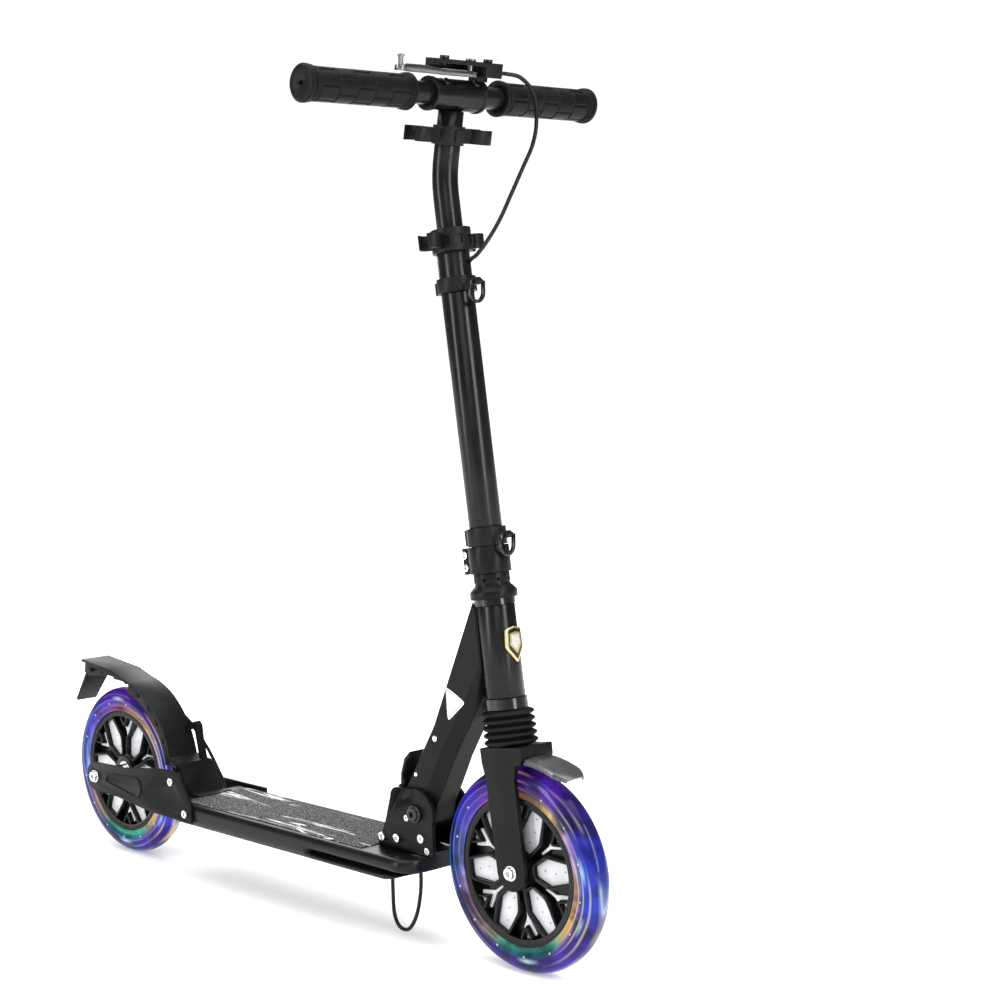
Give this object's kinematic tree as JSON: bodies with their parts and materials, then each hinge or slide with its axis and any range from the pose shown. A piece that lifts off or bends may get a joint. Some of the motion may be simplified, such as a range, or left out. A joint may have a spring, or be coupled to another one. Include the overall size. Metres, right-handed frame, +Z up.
{
  "type": "kick scooter",
  "caption": "Folding two-wheel kick scooter with light-up tyres, sprung fork, hand brake, fender brake and height-adjustable handlebar.",
  "frame": {"origin": "on the ground, halfway between the axles, in the mid-plane of the deck (the bottom centre of the part's box)", "axes": "+X forward, +Y to the rider's left, +Z up"},
  "size_m": [0.855, 0.38, 0.8771],
  "materials": {
    "deck_black": "satin",
    "grip_tape": "gritty",
    "frame_black": "satin",
    "steel": "zinc plated",
    "moulded_black": "fine moulded texture",
    "lever_metal": "anodised grey",
    "rim_black": "semi gloss",
    "petal_white": "translucent",
    "lit_tyre": "clear urethane lit from inside",
    "grip_rubber": "matte",
    "cable_black": "satin",
    "reflector_red": "prismatic",
    "label": "printed film with no lettering"
  },
  "bodies": {
    "deck": {"deck_platform": "deck_black", "deck_tray": "deck_black", "grip_tape": "grip_tape", "bracket_plate_right": "frame_black", "bracket_plate_left": "frame_black", "bracket_base": "frame_black", "deck_bolts": "steel", "fender_bracket": "frame_black", "stay_right": "frame_black", "stay_left": "frame_black", "rear_axle": "steel", "brake_caliper": "moulded_black", "brake_cable_lower": "cable_black", "hinge_pins": "steel"},
    "rear_wheel": {"rear_tyre": "lit_tyre", "rear_rim": "rim_black", "rear_petals": "petal_white", "rear_bearings": "steel", "brake_disc": "steel"},
    "fender": {"rear_fender": "moulded_black", "fender_skirts": "moulded_black", "mud_flap": "moulded_black", "reflector": "reflector_red"},
    "caliper_lever": {"caliper_arm": "steel"},
    "neck": {"neck_beam": "frame_black", "head_tube": "frame_black", "neck_rivets": "steel", "neck_labels": "label", "headset_cups": "steel"},
    "pedal": {"release_pedal": "moulded_black"},
    "column": {"stem_tube": "frame_black", "steering_clamp": "frame_black", "clamp_bolts": "steel", "headset_cap": "moulded_black", "strap_ring_lower": "moulded_black", "strap_ring_upper": "moulded_black", "height_collar": "moulded_black"},
    "lower_loop": {"strap_loop_lower": "steel"},
    "upper_loop": {"strap_loop_upper": "steel"},
    "suspension": {"fork": "frame_black", "front_fender": "moulded_black", "front_axle": "steel", "fork_bellows": "grip_rubber", "fork_spring": "steel"},
    "front_wheel": {"front_tyre": "lit_tyre", "front_rim": "rim_black", "front_petals": "petal_white", "front_bearings": "steel"},
    "handlebar": {"bar_riser": "frame_black", "bar_sleeve": "frame_black", "bar_screws": "steel", "clip_band": "moulded_black", "brake_perch": "moulded_black", "barrel_adjuster": "steel", "brake_cable_upper": "cable_black"},
    "lever": {"brake_lever": "lever_metal"},
    "right_handle": {"right_bar": "frame_black", "right_grip": "grip_rubber"},
    "left_handle": {"left_bar": "frame_black", "left_grip": "grip_rubber"}
  },
  "joints": [
    {"name": "fold", "type": "hinge", "parent": "deck", "child": "neck", "pos_m": [0.1995, 0, 0.137], "axis": [0, -1, 0], "range_deg": [0, 80]},
    {"name": "release_pedal", "type": "hinge", "parent": "neck", "child": "pedal", "pos_m": [0.1725, 0, 0.16], "axis": [0, -1, 0], "range_deg": [0, 12], "stiffness_Nm_per_rad": 3, "springref_deg": -14.32},
    {"name": "steer", "type": "hinge", "parent": "neck", "child": "column", "pos_m": [0.29967, 0, 0.29805], "axis": [-0.1392, 0, 0.9903], "range_deg": [-60, 60]},
    {"name": "fork_travel", "type": "slide", "parent": "column", "child": "suspension", "axis": [-0.1392, 0, 0.9903], "range_m": [0, 0.012], "stiffness_N_per_m": 12000, "springref_m": -0.01, "deforming": ["fork_bellows", "fork_spring"]},
    {"name": "front_wheel_spin", "type": "hinge", "parent": "suspension", "child": "front_wheel", "pos_m": [0.3275, 0, 0.1], "axis": [0, 1, 0], "continuous": true},
    {"name": "rear_wheel_spin", "type": "hinge", "parent": "deck", "child": "rear_wheel", "pos_m": [-0.3275, 0, 0.1], "axis": [0, 1, 0], "continuous": true},
    {"name": "fender_brake", "type": "hinge", "parent": "deck", "child": "fender", "pos_m": [-0.2095, 0, 0.121], "axis": [0, -1, 0], "range_deg": [0, 4.2], "stiffness_Nm_per_rad": 12, "springref_deg": -6.88},
    {"name": "bar_height", "type": "slide", "parent": "column", "child": "handlebar", "axis": [-0.1392, 0, 0.9903], "range_m": [-0.03, 0.1], "deforming": ["brake_cable_upper"]},
    {"name": "brake_lever", "type": "hinge", "parent": "handlebar", "child": "lever", "pos_m": [0.26623, 0.006, 0.8638], "axis": [-0.1788, 0, -0.9839], "range_deg": [0, 14], "stiffness_Nm_per_rad": 1.5, "springref_deg": -11.46},
    {"name": "caliper_pull", "type": "hinge", "parent": "deck", "child": "caliper_lever", "pos_m": [-0.3055, 0.035, 0.149], "axis": [0, 1, 0], "range_deg": [0, 21]},
    {"name": "right_handle_pull", "type": "slide", "parent": "handlebar", "child": "right_handle", "axis": [0, -1, 0], "range_m": [0, 0.022]},
    {"name": "left_handle_pull", "type": "slide", "parent": "handlebar", "child": "left_handle", "axis": [0, 1, 0], "range_m": [0, 0.022]},
    {"name": "lower_loop_swing", "type": "hinge", "parent": "column", "child": "lower_loop", "pos_m": [0.30938, 0, 0.42292], "axis": [0, 1, 0], "range_deg": [-75, 2]},
    {"name": "upper_loop_swing", "type": "hinge", "parent": "column", "child": "upper_loop", "pos_m": [0.2754, 0, 0.66475], "axis": [0, 1, 0], "range_deg": [-75, 2]}
  ],
  "couplings": [
    {"joint": "caliper_pull", "follows": "brake_lever", "ratio": 1.5}
  ]
}
